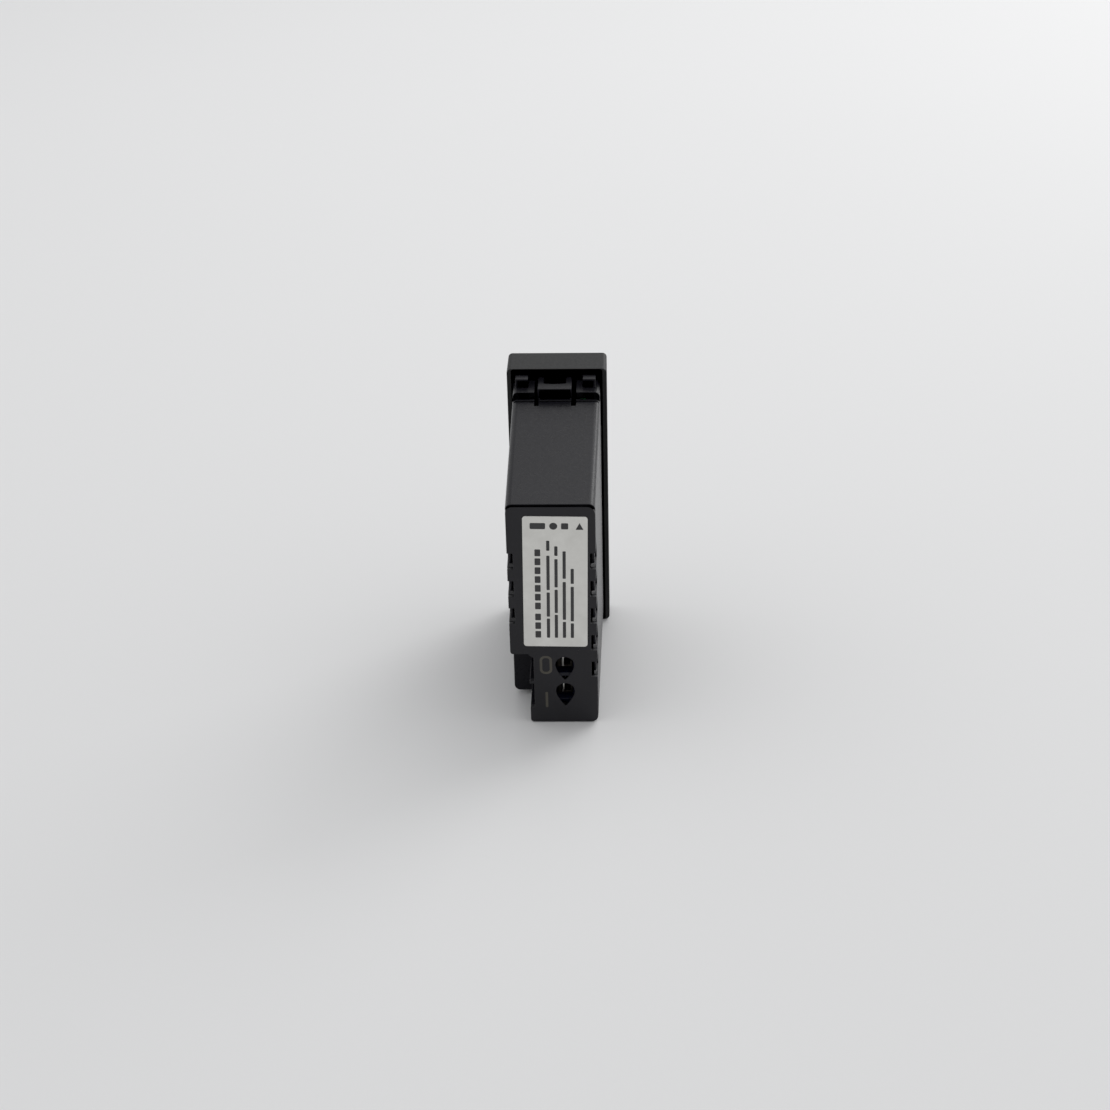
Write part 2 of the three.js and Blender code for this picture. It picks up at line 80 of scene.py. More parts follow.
BEZEL = {"wall": 0.8, "knife": 0.07, "taper": 1.5, "front": 1.5, "draft": 0.06, "corner": 0.75, "nose": 0.24}
DECK = {"start": 1.8, "end": 10.1, "half": 7.2, "top": 22.75, "corner": 0.9}
UNDERCUT = {"depth": 2.3, "skin": 0.16, "trench": 1.5, "end": 10.32}
TOOTH = {"inner": 4.51, "outer": 6.65, "middle": 0.16, "start": 6.6, "end": 8.1, "top": 24.1, "skin": 0.36}
GROOVE = {"start": 10.8, "end": 11.22, "depth": 0.35}
STEP_Z = -6.2
TOWER_X = 3.97
CUTAWAY_Y = 34.3
SEAT_Y = 43.2  # where the side walls end and the cover sits on them
REBATE = {"end": 43.85, "lip": 0.2, "seam": 0.26, "reach": 1.0}
NOTCH = {
    "depth": 0.97, "height": 2.95, "pitch": 5.1, "first": 11.25, "recess": 0.27, "floor": 42.7,
    "line": 0.32, "deep": 41.5,
}
COVER = {
    "side": 0.02, "foot": 0.05, "seat": 0.04, "plug": 1.1, "plug_inset": 0.2,
    "web": 0.26, "room": (1.9, 2.6),  # the thin web around the wire entries, and its half width and margin
}
CELLS = (-9.15, -14.23)
WINDOW = {"start": 36.4, "half": 2.3, "depth": 0.72}
ENTRY = {"x": -1.72, "radius": 1.5, "drop": 2.95, "rise": 0.85, "bow": 1.7}
LATCH = {"root": 12.65, "skin": 1.0, "bend": 1.9, "bends": 8, "slit_depth": 2.1}
# on the tongue's low x and high x side: the slit's width, and what its plate and its pocket leave free
BESIDE = {"slit": (0.74, 0.51), "plate": (0.06, 0.17), "pocket": (0.28, 0.4)}
PRONG = {"width": 0.98, "rear": 10.2, "top": 23.4, "round": 0.46, "sunk": 0.3}
CROSSBAR = {"front": 8.0, "arch": 0.35, "thick": 0.2, "pocket": 2.8}
PORT_Z = 8.0
MOUTH = {"half_x": 3.15, "half_z": 6.85, "corner": 0.45, "chamfer": 0.35}
SHELL = {"half_x": 2.85, "half_z": 6.55, "wall": 0.3, "front": 0.5, "rear": 14.9, "corner": 0.55}

SCREW = {"head": 0.85, "shaft": 1.05, "slot_depth": 0.5, "slot_half": 0.25, "sides": 48}
MARK = {
    "x": 1.3, "half_x": 1.0, "half_ring": 1.75, "half_bar": 1.5, "stroke": 0.42,
    "sunk": 0.05, "proud": 0.03, "ring_rise": 0.9, "bar_drop": 0.8,
}
FLOOR_GAP = 0.05

# ---------- solids ----------

OVERSHOOT = 1.0  # how far a cutter reaches past what it cuts
ASIDE, BEHIND, ABOVE, BELOW = 20, 60, 26, -40  # limits of cutters that leave the module altogether
FRONT_OF_COVER = 40  # where the cutters through the cover begin
SHARP = math.radians(28)  # edges that turn more than this are rounded off


def new_object(name, bm):
    mesh = bpy.data.meshes.new(name)
    bm.to_mesh(mesh)
    bm.free()
    obj = bpy.data.objects.new(name, mesh)
    bpy.context.scene.collection.objects.link(obj)
    return obj


def outline(corners, steps=7):
    """A closed flat outline through corners given as (u, v, radius), each rounded by its radius."""
    points = []
    for i, (u, v, radius) in enumerate(corners):
        here = Vector((u, v))
        if radius == 0:
            points.append(here)
            continue
        before = (Vector(corners[i - 1][:2]) - here).normalized()
        after = (Vector(corners[(i + 1) % len(corners)][:2]) - here).normalized()
        half = before.angle(after) / 2
        centre = here + (before + after).normalized() * (radius / math.sin(half))
        first = here + before * (radius / math.tan(half)) - centre
        last = here + after * (radius / math.tan(half)) - centre
        start = math.atan2(first.y, first.x)
        sweep = (math.atan2(last.y, last.x) - start + math.pi) % (2 * math.pi) - math.pi
        for k in range(steps + 1):
            angle = start + sweep * k / steps
            points.append(centre + radius * Vector((math.cos(angle), math.sin(angle))))
    return points


def rounded(u, v, radius, steps=7):
    corners = [(u[0], v[0]), (u[1], v[0]), (u[1], v[1]), (u[0], v[1])]
    return outline([(a, b, radius) for a, b in corners], steps)


def circle(centre, radius, sides=64):
    turns = [2 * math.pi * k / sides for k in range(sides)]
    return [Vector((centre[0] + radius * math.cos(t), centre[1] + radius * math.sin(t))) for t in turns]


def loft(loops):
    """A closed solid through loops of equally many points, capped at both ends."""
    bm = bmesh.new()
    rings = [[bm.verts.new(point) for point in loop] for loop in loops]
    for a, b in zip(rings, rings[1:]):
        for i in range(len(a)):
            j = (i + 1) % len(a)
            bm.faces.new((a[i], a[j], b[j], b[i]))
    bm.faces.new(rings[0])
    bm.faces.new(rings[-1])
    bmesh.ops.recalc_face_normals(bm, faces=bm.faces)
    return new_object("solid", bm)


def at_y(points, y):
    return [(p.x, y, p.y) for p in points]


def prism_y(points, start, end):
    return loft([at_y(points, start), at_y(points, end)])


def prism_x(points, start, end):
    return loft([[(x, p.x, p.y) for p in points] for x in (start, end)])


def prism_z(points, start, end):
    return loft([[(p.x, p.y, z) for p in points] for z in (start, end)])


def block(x, y, z):
    corners = [(x[0], z[0]), (x[1], z[0]), (x[1], z[1]), (x[0], z[1])]
    return prism_y([Vector(corner) for corner in corners], *y)


def bake(obj):
    """Turns an object's modifiers into its mesh."""
    depsgraph = bpy.context.evaluated_depsgraph_get()
    mesh = bpy.data.meshes.new_from_object(obj.evaluated_get(depsgraph))
    obj.modifiers.clear()
    obj.data = mesh


def combine(body, tools, operation):
    for tool in tools:
        modifier = body.modifiers.new("combine", "BOOLEAN")
        modifier.operation = operation
        modifier.solver = "EXACT"
        modifier.object = tool
        bake(body)
        bpy.data.objects.remove(tool)
    return body


def carve(body, *tools):
    return combine(body, tools, "DIFFERENCE")


def fuse(body, *tools):
    return combine(body, tools, "UNION")


def always(_):
    return True


def round_edges(obj, width, keep):
    """Marks the sharp edges that keep accepts, and rounds them with a bevel."""
    bm = bmesh.new()
    bm.from_mesh(obj.data)
    bmesh.ops.remove_doubles(bm, verts=bm.verts, dist=0.002)
    bmesh.ops.dissolve_limit(bm, angle_limit=math.radians(0.5), verts=bm.verts, edges=bm.edges)
    weight = bm.edges.layers.float.new("bevel_weight_edge")
    for edge in bm.edges:
        edge.smooth = True
        if len(edge.link_faces) == 2 and edge.calc_face_angle(0) > SHARP:
            if keep((edge.verts[0].co + edge.verts[1].co) / 2):
                edge[weight] = 1
            else:
                edge.smooth = False
    for face in bm.faces:
        face.smooth = True
    bm.to_mesh(obj.data)
    bm.free()
    bevel = obj.modifiers.new("edges", "BEVEL")
    bevel.limit_method = "WEIGHT"
    bevel.width = width
    bevel.segments = 3
    bevel.use_clamp_overlap = False
    bevel.miter_outer = "MITER_ARC"
    bake(obj)


def piece(obj, name, material, body, replaced=(), edge=0.12, keep=always):
    """Rounds a solid's edges, brings it to metres and gives it its name, material and body, and hides the
    nodes it replaces.
    """
    if edge:
        round_edges(obj, edge, keep)
    for polygon in obj.data.polygons:
        polygon.use_smooth = True
    obj.data.transform(Matrix.Scale(MM, 4))
    normals = obj.modifiers.new("normals", "WEIGHTED_NORMAL")
    normals.keep_sharp = True
    obj.name = name
    obj.data.name = name
    obj.data.materials.clear()
    obj.data.materials.append(material)
    if body:
        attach(obj, body)
    if replaced:
        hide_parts(*replaced)
    return obj


# ---------- materials ----------


class Shader:
    """A material's node tree, built one node at a time. Lengths in textures are in millimetres."""

    def __init__(self, name):
        self.material = bpy.data.materials.new(name)
        self.material.use_nodes = True
        self.tree = self.material.node_tree
        self.tree.nodes.clear()
        self.output = self.node("ShaderNodeOutputMaterial")
        self.surface = self.node("ShaderNodeBsdfPrincipled")
        self.link(self.surface.outputs["BSDF"], self.output.inputs["Surface"])
        self.place = self.node("ShaderNodeTexCoord").outputs["Object"]

    def node(self, kind, **values):
        made = self.tree.nodes.new(kind)
        for key, value in values.items():
            setattr(made, key, value)
        return made

    def link(self, output, target):
        self.tree.links.new(output, target)

    def stretched(self, scale):
        mapping = self.node("ShaderNodeMapping")
        mapping.inputs["Scale"].default_value = scale
        self.link(self.place, mapping.inputs["Vector"])
        return mapping.outputs["Vector"]

    def noise(self, size, detail=2.0, roughness=0.5, vector=None):
        """Noise whose blobs are about size millimetres across."""
        texture = self.node("ShaderNodeTexNoise")
        texture.inputs["Scale"].default_value = 1 / (size * MM)
        texture.inputs["Detail"].default_value = detail
        texture.inputs["Roughness"].default_value = roughness
        self.link(vector or self.place, texture.inputs["Vector"])
        return texture.outputs["Fac"]

    def specks(self, size, share):
        """1 at the centres of scattered dots, and 0 elsewhere."""
        texture = self.node("ShaderNodeTexVoronoi")
        texture.inputs["Scale"].default_value = 1 / (size * MM)
        self.link(self.place, texture.inputs["Vector"])
        return self.remap(texture.outputs["Distance"], share, 0.0, 0.0, 1.0)

    def remap(self, value, low, high, to_low, to_high):
        node = self.node("ShaderNodeMapRange")
        for key, number in (("From Min", low), ("From Max", high), ("To Min", to_low), ("To Max", to_high)):
            node.inputs[key].default_value = number
        self.link(value, node.inputs["Value"])
        return node.outputs["Result"]

    def maths(self, operation, a, b):
        node = self.node("ShaderNodeMath", operation=operation)
        for socket, value in zip(node.inputs, (a, b)):
            if isinstance(value, (int, float)):
                socket.default_value = value
            else:
                self.link(value, socket)
        return node.outputs[0]

    def blend(self, share, dark, light):
        """A colour between dark and light; each is a colour or an output."""
        node = self.node("ShaderNodeMix", data_type="RGBA")
        self.link(share, node.inputs[0])
        for socket, value in ((node.inputs[6], dark), (node.inputs[7], light)):
            if isinstance(value, tuple):
                socket.default_value = (*value, 1)
            else:
                self.link(value, socket)
        return node.outputs[2]

    def bump(self, height, depth, strength=1.0, after=None):
        """Bumps that rise depth millimetres."""
        node = self.node("ShaderNodeBump")
        node.inputs["Distance"].default_value = depth * MM
        node.inputs["Strength"].default_value = strength
        self.link(height, node.inputs["Height"])
        if after:
            self.link(after, node.inputs["Normal"])
        return node.outputs["Normal"]

    def finish(self, colour=None, roughness=None, normal=None, metallic=0.0, specular=0.5):
        self.surface.inputs["Metallic"].default_value = metallic
        self.surface.inputs["Specular IOR Level"].default_value = specular
        for name, value in (("Base Color", colour), ("Roughness", roughness), ("Normal", normal)):
            if value is not None:
                self.link(value, self.surface.inputs[name])
        return self.material


def moulded_plastic(name, dark, light, rough, grain=0.16, depth=0.012, specular=0.5, scuffed=0.0):
    """Black plastic with a spark-eroded grain, faint flow marks, dust and, if scuffed, fine scratches."""
    s = Shader(name)
    fine = s.noise(grain, 3.0, 0.6)
    coarse = s.noise(grain * 3.5, 2.0)
    flow = s.noise(9.0, 3.0, 0.55)
    colour = s.blend(s.remap(flow, 0.3, 0.7, 0.0, 1.0), dark, light)
    grey = tuple(min(1.0, v * 2.4 + 0.01) for v in light)
    dusty = s.maths("MULTIPLY", s.specks(1.3, 0.06), s.remap(flow, 0.45, 0.6, 0.0, 1.0))
    colour = s.blend(s.maths("MULTIPLY", dusty, 0.5), colour, grey)
    roughness = s.remap(s.maths("ADD", coarse, fine), 0.7, 1.3, rough - 0.06, rough + 0.07)
    if scuffed:
        lines = s.noise(0.5, 1.0, 0.4, s.stretched((0.12, 3.0, 1.0)))
        marks = s.remap(lines, 0.72, 0.78, 0.0, scuffed)
        colour = s.blend(marks, colour, grey)
        roughness = s.maths("SUBTRACT", roughness, s.maths("MULTIPLY", marks, 0.15))
    normal = s.bump(s.maths("ADD", fine, s.maths("MULTIPLY", coarse, 0.7)), depth)
    return s.finish(colour, roughness, normal, 0.0, specular)


def brushed_metal(name, dark, light, rough, grain=(1.0, 0.08, 1.0), specular=0.5):
    """Sheet metal with fine parallel marks and a little tarnish."""
    s = Shader(name)
    lines = s.noise(0.12, 2.0, 0.5, s.stretched(grain))
    tarnish = s.noise(1.6, 4.0, 0.6)
    colour = s.blend(s.remap(tarnish, 0.35, 0.7, 0.0, 1.0), light, dark)
    roughness = s.remap(s.maths("ADD", lines, tarnish), 0.6, 1.4, rough - 0.08, rough + 0.12)
    return s.finish(colour, roughness, s.bump(lines, 0.004), 1.0, specular)


def label_stock(name, dark, light):
    """Satin silver-grey label film with a faint fibre and slight waviness."""
    s = Shader(name)
    fibre = s.noise(0.2, 4.0, 0.7)
    waves = s.noise(6.0, 2.0)
    colour = s.blend(s.remap(s.noise(3.0, 4.0, 0.6), 0.3, 0.7, 0.0, 1.0), dark, light)
    normal = s.bump(fibre, 0.004, after=s.bump(waves, 0.05))
    return s.finish(colour, s.remap(fibre, 0.3, 0.7, 0.42, 0.55), normal, 0.0, 0.4)


def board_laminate(name):
    """Green solder mask over woven glass, with faint tracks beneath it."""
    s = Shader(name)
    weave = s.node("ShaderNodeTexBrick")
    weave.inputs["Scale"].default_value = 1 / (2.5 * MM)
    s.link(s.place, weave.inputs["Vector"])
    tracks = s.remap(s.noise(2.2, 0.0, 0.0, s.stretched((1.0, 0.4, 2.0))), 0.5, 0.53, 0.0, 1.0)
    colour = s.blend(tracks, (0.012, 0.075, 0.028), (0.02, 0.13, 0.045))
    normal = s.bump(tracks, 0.03, after=s.bump(weave.outputs["Fac"], 0.01))
    return s.finish(colour, s.remap(s.noise(0.6), 0.3, 0.7, 0.28, 0.4), normal)


def wound_tape(name, dark, light):
    """Wrapped tape or varnished winding: fine turns that show through as ridges."""
    s = Shader(name)
    wave = s.node("ShaderNodeTexWave", bands_direction="Y")
    wave.inputs["Scale"].default_value = 1 / (4.5 * MM)
    wave.inputs["Distortion"].default_value = 0.6
    s.link(s.place, wave.inputs["Vector"])
    colour = s.blend(s.maths("MULTIPLY", wave.outputs["Fac"], s.noise(2.0)), dark, light)
    return s.finish(colour, s.remap(s.noise(0.8), 0.3, 0.7, 0.3, 0.5), s.bump(wave.outputs["Fac"], 0.05))


casing_plastic = moulded_plastic(
    "casing_plastic", (0.0059, 0.0057, 0.0082), (0.0079, 0.0076, 0.0106), 0.3, 0.2, 0.009, 0.16, scuffed=0.25
)
bezel_plastic = moulded_plastic(
    "bezel_plastic", (0.0095, 0.0097, 0.0098), (0.012, 0.0122, 0.0124), 0.5, 0.12, 0.008, 0.27
)
cover_plastic = moulded_plastic(
    "cover_plastic", (0.0072, 0.0069, 0.0092), (0.0092, 0.0088, 0.0116), 0.42, 0.14, 0.009, 0.32
)
inner_plastic = moulded_plastic(
    "inner_plastic", (0.012, 0.012, 0.012), (0.018, 0.018, 0.018), 0.42, 0.3, 0.006
)
# dark blue plastic for the terminal block: the blue is its own colour, and the darkening towards black is
# painted shade for the hollows behind the wire entries
block_plastic_blue_and_painted_shade = moulded_plastic(
    "block_plastic_blue_and_painted_shade", (0.001, 0.003, 0.016), (0.0015, 0.004, 0.024), 0.45, 0.3, 0.006
)
resin = moulded_plastic("resin", (0.014, 0.014, 0.014), (0.022, 0.022, 0.022), 0.4, 0.25, 0.01)
ferrite = moulded_plastic("ferrite", (0.03, 0.03, 0.032), (0.05, 0.05, 0.052), 0.62, 0.4, 0.02)
mark_ink = moulded_plastic("mark_ink", (0.045, 0.04, 0.03), (0.06, 0.053, 0.04), 0.45, 0.2, 0.004)
print_ink = moulded_plastic("print_ink", (0.02, 0.02, 0.021), (0.03, 0.03, 0.031), 0.5, 0.2, 0.003)
label_film = label_stock("label_film", (0.60, 0.595, 0.565), (0.68, 0.675, 0.645))
tinned = brushed_metal("tinned_sheet", (0.42, 0.41, 0.38), (0.72, 0.71, 0.68), 0.3)
# near-black metal for the clamp cages: the darkness is painted shade, so that they read as the unlit inside
# of the wire entries
cage_metal_painted_shade = brushed_metal("cage_metal_painted_shade", (0.035, 0.03, 0.025), (0.07, 0.065, 0.055), 0.45)
gold = brushed_metal("gilded_contact", (0.75, 0.52, 0.18), (0.95, 0.72, 0.32), 0.22)
steel = brushed_metal("zinc_steel", (0.38, 0.38, 0.37), (0.66, 0.66, 0.65), 0.32, (1.0, 1.0, 0.2))
sleeve_aluminium = brushed_metal("can_sleeve", (0.50, 0.51, 0.53), (0.72, 0.73, 0.75), 0.35)
laminate = board_laminate("laminate")
yellow_tape = wound_tape("yellow_tape", (0.42, 0.26, 0.015), (0.72, 0.5, 0.06))

# ---------- casing ----------


def share_along(y):
    return (y - bezel_high.y) / (DEPTH - bezel_high.y)


def body_loop(y, inset):
    """The body's tapered section, pulled in by inset."""
    share = share_along(y)
    half = HALF_FRONT + (HALF_REAR - HALF_FRONT) * share - inset
    bottom = BOTTOM_FRONT + (BOTTOM_REAR - BOTTOM_FRONT) * share + inset
    return at_y(rounded((-half, half), (bottom, TOP - inset), max(BODY_CORNER - inset, 0.25)), y)


def notch_rows():
    for row in range(5):
        z = NOTCH["first"] - row * NOTCH["pitch"]
        yield -1, z
        if row < 3:
            yield 1, z


def sided(side, inner, outer):
    return (inner, outer) if side > 0 else (-outer, -inner)


def make_bezel():
    half_x, half_z, rear = bezel_high.x, bezel_high.z, bezel_high.y
    wall, knife, nose = BEZEL["wall"], BEZEL["knife"], BEZEL["nose"]

    def outer(y, inset):
        x, z = half_x - inset, half_z - inset
        return at_y(rounded((-x, x), (-z, z), BEZEL["corner"] - inset / 2), y)

    def hollow(y, side, end):
        x, z = half_x - side, half_z - end
        return at_y(rounded((-x, x), (-z, z), 0.45), y)

    loops = []
    for step in range(5):
        angle = math.radians(90 * step / 4)
        inset = BEZEL["draft"] + nose * (1 - math.sin(angle))
        loops.append(outer(nose * (1 - math.cos(angle)), inset))
    loops.append(outer(rear - 0.12, 0.0))
    loops.append(outer(rear, 0.05))
    inside = [
        hollow(BEZEL["front"], wall + 0.1, wall + 0.1),
        hollow(rear - BEZEL["taper"], wall, wall),
        hollow(rear, wall - 0.05, knife),
        hollow(rear + OVERSHOOT, wall - 0.05, knife),
    ]
    body = carve(loft(loops), loft(inside))
    for side in (-1, 1):
        z = side * PORT_Z
        x, high, chamfer = MOUTH["half_x"], MOUTH["half_z"], MOUTH["chamfer"]

        def mouth(y, grow):
            u, v = x + grow, high + grow
            return at_y(rounded((-u, u), (z - v, z + v), MOUTH["corner"] + grow), y)

        body = carve(body, loft([mouth(-chamfer, 2 * chamfer), mouth(chamfer, 0), mouth(3, 0)]))
    return piece(body, "bezel", bezel_plastic, "casing", ["front_bezel"], 0.06)


def tooth(side, up):
    """A retaining hook, and the hollow beneath its plate that reaches down through the deck."""
    skin = TOOTH["skin"]
    x = [TOOTH["middle"] + v for v in sided(side, TOOTH["inner"], TOOTH["outer"])]
    hollow_x = [TOOTH["middle"] + v for v in sided(side, TOOTH["inner"] - 0.02, TOOTH["outer"] - skin)]
    foot = DECK["top"] - skin
    z = sided(up, foot, TOOTH["top"])
    start, end = TOOTH["start"], TOOTH["end"]
    hook = block(x, (start, end), z)
    return hook, block(hollow_x, (start - 1.2, end + 0.35), sided(up, TOP - 2 * WALL, TOOTH["top"] - skin))


def undercut(up):
    """The hollow beneath the deck's rear edge, which follows the deck's outline."""
    skin = UNDERCUT["skin"]
    half, tip = DECK["half"] - skin, DECK["top"] - skin
    radius = DECK["corner"] - skin
    low = TOP - UNDERCUT["trench"]
    shape = outline([
        (-half, up * low, 0), (half, up * low, 0), (half, up * tip, radius), (-half, up * tip, radius),
    ])
    return prism_y(shape, DECK["end"] - UNDERCUT["depth"], UNDERCUT["end"])


def make_housing():
    body = loft([body_loop(DECK["end"] - OVERSHOOT, 0), body_loop(REBATE["end"], 0)])
    deck_x = (-DECK["half"], DECK["half"])
    deck_z = (-DECK["top"], DECK["top"])
    body = fuse(body, prism_y(rounded(deck_x, deck_z, DECK["corner"]), DECK["start"], DECK["end"]))
    for up in (-1, 1):
        body = carve(body, undercut(up))
        for side in (-1, 1):
            hook, inside = tooth(side, up)
            body = carve(fuse(body, hook), inside)
    body = carve(body, block((TOWER_X, ASIDE), (CUTAWAY_Y, BEHIND), (BELOW, STEP_Z)))

    hollow = loft([body_loop(DECK["start"] - OVERSHOOT, WALL), body_loop(DEPTH + OVERSHOOT, WALL)])
    kept = block((TOWER_X - WALL, ASIDE), (CUTAWAY_Y - WALL, BEHIND), (BELOW, STEP_Z + WALL))
    body = carve(body, carve(hollow, kept))

    # the seat of the cover: the side walls stop short, and the top wall ends in a thin rebated lip
    below = TOP - REBATE["reach"]
    body = carve(body, block((-ASIDE, ASIDE), (SEAT_Y, BEHIND), (BELOW, below)))
    room = REBATE["lip"]
    lip_x = (-HALF_REAR + room, HALF_REAR - room)
    body = carve(body, prism_y(rounded(lip_x, (-10, TOP - room), BODY_CORNER - room), SEAT_Y, BEHIND))

    # the slits beside the latch tongue, and the groove behind the deck
    root = LATCH["root"]
    slit_x = (tongue_low.x - BESIDE["slit"][0], tongue_high.x + BESIDE["slit"][1])
    body = carve(body, block(slit_x, (DECK["start"] + OVERSHOOT, root), (TOP - LATCH["slit_depth"], ABOVE)))
    groove_y = (GROOVE["start"], GROOVE["end"])
    for x in ((-ASIDE, slit_x[0]), (slit_x[1], ASIDE)):
        body = carve(body, block(x, groove_y, (TOP - GROOVE["depth"], TOP + 0.5)))

    for z in CELLS:
        window = rounded((WINDOW["start"], BEHIND), (z - WINDOW["half"], z + WINDOW["half"]), 0.3)
        body = carve(body, prism_x(window, TOWER_X - 2 * WALL, ASIDE))
    for side, z in notch_rows():
        high = NOTCH["height"] / 2
        inner = HALF_REAR - NOTCH["depth"]
        line, deep = NOTCH["line"], NOTCH["deep"]
        across = (z - high, z + high)
        body = carve(
            body,
            block(sided(side, HALF_REAR - NOTCH["recess"], ASIDE), (FRONT_OF_COVER, BEHIND), across),
            block(sided(side, inner, ASIDE), (NOTCH["floor"], BEHIND), across),
            block(sided(side, inner, inner + line), (deep, BEHIND), across),
            block(sided(side, inner, ASIDE), (deep, BEHIND), (z - high, z - high + line)),
        )

    def rounded_here(point):
        at_root = abs(point.y - root) < 0.05 and abs(point.x - 0.25) < 3.9 and point.z > 0
        in_groove = groove_y[0] - 0.01 < point.y < groove_y[1] + 0.01 and TOP - 0.4 < point.z < TOP - 0.05
        in_notch = NOTCH["deep"] - 0.1 < point.y < NOTCH["floor"] - 0.05 and abs(point.x) > HALF_REAR - 1.05
        return not (at_root or in_groove or in_notch)

    return piece(
        body, "housing", casing_plastic, "casing", ["main_housing"], 0.1, rounded_here
    )


def make_tongue():
    """The latch tongue, moulded in one with the housing; its mesh is cut across near its root, where the real
    tongue bends.
    """
    root = LATCH["root"]
    left, right = tongue_low.x, tongue_high.x
    front = tongue_low.y
    plate_low = TOP - LATCH["skin"]
    plate_x = (left + BESIDE["plate"][0], right - BESIDE["plate"][1])
    plate = prism_z(rounded(plate_x, (front, root), 0.0), plate_low, TOP)
    raised_low = TOP - PRONG["sunk"]
    bar_front = CROSSBAR["front"]
    rear = PRONG["rear"]
    arch = [Vector((right, rear)), Vector((left, rear)), Vector((left, bar_front))]
    for step in range(1, 8):
        share = step / 8
        bow = CROSSBAR["arch"] * math.sin(math.pi * share)
        arch.append(Vector((left + (right - left) * share, bar_front + bow)))
    arch.append(Vector((right, bar_front)))
    body = fuse(plate, prism_z(arch, raised_low, PRONG["top"]))
    radius = PRONG["round"]
    for x in (left, right - PRONG["width"]):
        u = (x, x + PRONG["width"])
        corners = [(u[0], front, radius), (u[1], front, radius), (u[1], rear, 0), (u[0], rear, 0)]
        body = fuse(body, prism_z(outline(corners), raised_low, PRONG["top"]))
    tip = PRONG["top"] - CROSSBAR["thick"]
    pocket_x = (left + BESIDE["pocket"][0], right - BESIDE["pocket"][1])
    pocket_y = (rear - CROSSBAR["pocket"], UNDERCUT["end"])
    body = carve(body, block(pocket_x, pocket_y, (plate_low - OVERSHOOT, tip)))
    groove = (TOP - GROOVE["depth"], TOP + 0.5)
    groove_x = (left - OVERSHOOT, right + OVERSHOOT)
    body = carve(body, block(groove_x, (GROOVE["start"], GROOVE["end"]), groove))

    tongue = piece(
        body, "tongue", casing_plastic, None, ["latch_tongue"], 0.1,
        lambda point: point.y < root - 0.05,
    )
    bm = bmesh.new()
    bm.from_mesh(tongue.data)
    bends = LATCH["bends"]
    for step in range(1, bends):
        y = (root - LATCH["bend"] * step / bends) * MM
        geometry = bm.verts[:] + bm.edges[:] + bm.faces[:]
        bmesh.ops.bisect_plane(bm, geom=geometry, plane_co=(0, y, 0), plane_no=(0, 1, 0))
    bm.to_mesh(tongue.data)
    bm.free()
    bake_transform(tongue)
    return tongue


def teardrop(z):
    """A wire entry's outline: round at the top, with two bowed sides that meet in a point."""
    x, radius, drop = ENTRY["x"], ENTRY["radius"], ENTRY["drop"]
    steps = 12
    right, left = [], []
    for k in range(1, steps):
        share = k / steps
        half = radius * (1 - share ** ENTRY["bow"])
        right.append(Vector((x + half, z - drop * share)))
        left.append(Vector((x - half, z - drop * share)))
    turns = [math.pi * k / 32 for k in range(33)]
    arch = [Vector((x + radius * math.cos(t), z + radius * math.sin(t))) for t in turns]
    return arch + left + [Vector((x, z - drop))] + right[::-1]


def make_cover():
    half = HALF_REAR - COVER["side"]
    top = TOP - REBATE["lip"] - REBATE["seam"]
    bottom = BOTTOM_REAR + COVER["foot"]
    seat = SEAT_Y + COVER["seat"]
    shape = outline([
        (-half, bottom, 1.1), (TOWER_X, bottom, 0.5), (TOWER_X, STEP_Z, 0.15),
        (half, STEP_Z, 0.45), (half, top, 1.1), (-half, top, 1.35),
    ])
    body = prism_y(shape, seat, DEPTH)
    inset = WALL + COVER["plug_inset"]
    plug = outline([
        (-half + inset, bottom + inset, 0.4), (TOWER_X - inset, bottom + inset, 0.2),
        (TOWER_X - inset, STEP_Z + inset, 0.2), (half - inset, STEP_Z + inset, 0.2),
        (half - inset, top - inset, 0.4), (-half + inset, top - inset, 0.4),
    ])
    body = fuse(body, prism_y(plug, seat - COVER["plug"], seat + 0.1))
    reach, margin = COVER["room"]
    room_x = (ENTRY["x"] - reach, ENTRY["x"] + reach)
    room_z = (CELLS[1] - margin, CELLS[0] + margin)
    body = carve(body, block(room_x, (seat - 3, DEPTH - COVER["web"]), room_z))
    for side, z in notch_rows():
        high = NOTCH["height"] / 2
        cut_x = sided(side, HALF_REAR - NOTCH["depth"], ASIDE)
        body = carve(body, block(cut_x, (FRONT_OF_COVER, BEHIND), (z - high, z + high)))
    for z in CELLS:
        body = carve(body, prism_y(teardrop(z + ENTRY["rise"]), FRONT_OF_COVER, BEHIND))
        cut_z = (z - WINDOW["half"], z + WINDOW["half"])
        body = carve(body, block((TOWER_X - WINDOW["depth"], ASIDE), (FRONT_OF_COVER, BEHIND), cut_z))
    corner = [Vector((4.3, STEP_Z - 0.01)), Vector((3.3, CELLS[0] + 2.25)), Vector((4.6, CELLS[0] + 2.25))]
    body = carve(body, prism_y(corner, FRONT_OF_COVER, BEHIND))
    return piece(body, "cover", cover_plastic, "casing", ["rear_cover"], 0.09)


def make_marks():
    """An upright ring and a bar beside the wire entries, in the places of the printed marks."""
    x, half, tall, high, stroke = (MARK[key] for key in ("x", "half_x", "half_ring", "half_bar", "stroke"))
    start, end = DEPTH - MARK["sunk"], DEPTH + MARK["proud"]
    upper, lower = CELLS[0] + MARK["ring_rise"], CELLS[1] - MARK["bar_drop"]
    ring = prism_y(rounded((x - half, x + half), (upper - tall, upper + tall), 0.9), start, end)
    inner_x = (x - half + stroke, x + half - stroke)
    inner = rounded(inner_x, (upper - tall + stroke, upper + tall - stroke), 0.5)
    ring = carve(ring, prism_y(inner, DEPTH - 1, DEPTH + 1))
    piece(ring, "upper_entry_mark", mark_ink, "casing", (), 0)
    bar = prism_y(rounded((x - stroke / 2, x + stroke / 2), (lower - high, lower + high), 0.15), start, end)
    piece(bar, "lower_entry_mark", mark_ink, "casing", (), 0)


# ---------- label ----------

